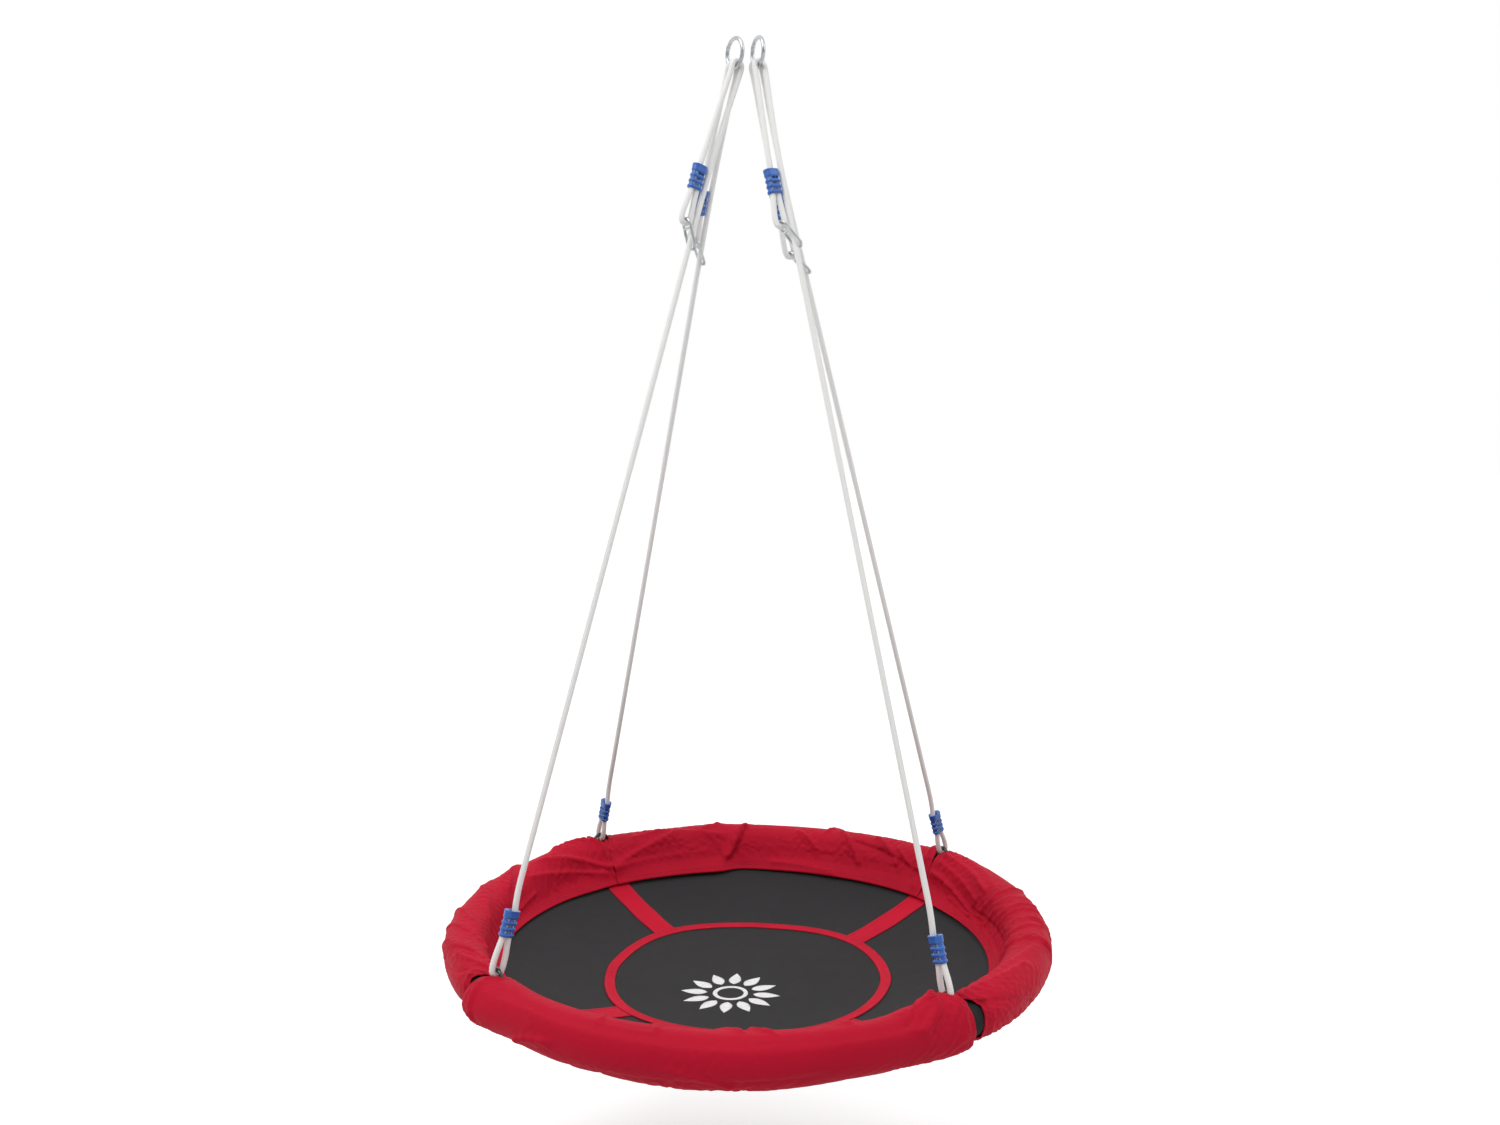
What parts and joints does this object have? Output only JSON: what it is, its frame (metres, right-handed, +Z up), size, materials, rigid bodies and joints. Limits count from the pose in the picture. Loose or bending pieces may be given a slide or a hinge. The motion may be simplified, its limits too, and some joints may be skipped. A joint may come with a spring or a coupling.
{
  "type": "saucer nest swing",
  "caption": "Round rope-hung nest swing: a padded ring with a sagging mesh mat, ropes over top rings, rope clamps and sliding height adjusters.",
  "frame": {"origin": "midway between the two points where the top rings bear on their hooks", "axes": "+Z up, +X from the left top ring to the right one, front is -Y"},
  "size_m": [1.1038, 1.1038, 1.6872],
  "materials": {
    "zinc_steel": "bright zinc plate",
    "white_rope": "braided polypropylene",
    "blue_plastic": "moulded, satin gloss",
    "black_steel": "gloss black powder coat",
    "tube_steel": "black powder coat",
    "black_foam": "closed-cell foam",
    "red_fabric": "woven polyester mesh",
    "black_mesh": "open woven polyester mesh",
    "black_panel": "dense woven polyester",
    "red_webbing": "woven binding"
  },
  "bodies": {
    "top_rings": {"top_ring_left": "zinc_steel", "top_ring_right": "zinc_steel"},
    "hanging_ropes": {"rope_front_left": "white_rope", "rope_front_right": "white_rope", "rope_back_right": "white_rope", "rope_back_left": "white_rope"},
    "seat": {"lower_clamp_front_left": "blue_plastic", "lower_clamp_front_right": "blue_plastic", "lower_clamp_back_right": "blue_plastic", "lower_clamp_back_left": "blue_plastic", "eye_bolt_front_left": "black_steel", "eye_bolt_front_right": "black_steel", "eye_bolt_back_right": "black_steel", "eye_bolt_back_left": "black_steel", "eye_bolt_washers": "black_steel", "eye_bolt_nuts": "black_steel", "frame_tube_front": "tube_steel", "frame_tube_right": "tube_steel", "frame_tube_back": "tube_steel", "frame_tube_left": "tube_steel", "foam_sleeve_front": "black_foam", "foam_sleeve_right": "black_foam", "foam_sleeve_back": "black_foam", "foam_sleeve_left": "black_foam", "cover_front": "red_fabric", "cover_right": "red_fabric", "cover_back": "red_fabric", "cover_left": "red_fabric", "cover_skirt_front": "red_fabric", "cover_skirt_right": "red_fabric", "cover_skirt_back": "red_fabric", "cover_skirt_left": "red_fabric", "mat_mesh": "black_mesh", "centre_panel": "black_panel", "centre_binding": "red_webbing", "strap_front_left": "red_webbing", "strap_front_right": "red_webbing", "strap_back_right": "red_webbing", "strap_back_left": "red_webbing"},
    "adjuster_front_left": {"height_adjuster_front_left": "zinc_steel", "upper_clamp_front_left": "blue_plastic"},
    "adjuster_front_right": {"height_adjuster_front_right": "zinc_steel", "upper_clamp_front_right": "blue_plastic"},
    "adjuster_back_right": {"height_adjuster_back_right": "zinc_steel", "upper_clamp_back_right": "blue_plastic"},
    "adjuster_back_left": {"height_adjuster_back_left": "zinc_steel", "upper_clamp_back_left": "blue_plastic"}
  },
  "joints": [
    {"name": "swing", "type": "hinge", "parent": "top_rings", "child": "hanging_ropes", "pos_m": [0, 0, -0.0455], "axis": [1, 0, 0], "range_deg": [-45, 45]},
    {"name": "seat_height", "type": "slide", "parent": "hanging_ropes", "child": "seat", "axis": [0, 0, 1], "range_m": [-0.05, 0.25], "deforming": ["rope_front_left", "rope_front_right", "rope_back_right", "rope_back_left"]},
    {"name": "adjust_front_left", "type": "slide", "parent": "hanging_ropes", "child": "adjuster_front_left", "axis": [-0.3081, -0.3171, -0.897], "range_m": [-0.048, 0.2359]},
    {"name": "adjust_front_right", "type": "slide", "parent": "hanging_ropes", "child": "adjuster_front_right", "axis": [0.3019, -0.3176, -0.8989], "range_m": [-0.0481, 0.2363]},
    {"name": "adjust_back_right", "type": "slide", "parent": "hanging_ropes", "child": "adjuster_back_right", "axis": [0.3162, 0.3258, -0.891], "range_m": [-0.0481, 0.2363]},
    {"name": "adjust_back_left", "type": "slide", "parent": "hanging_ropes", "child": "adjuster_back_left", "axis": [-0.3038, 0.3211, -0.897], "range_m": [-0.0481, 0.2364]}
  ],
  "couplings": [
    {"joint": "adjust_front_left", "follows": "seat_height", "ratio": 0.9397},
    {"joint": "adjust_front_right", "follows": "seat_height", "ratio": 0.9411},
    {"joint": "adjust_back_right", "follows": "seat_height", "ratio": 0.9412},
    {"joint": "adjust_back_left", "follows": "seat_height", "ratio": 0.9415}
  ]
}
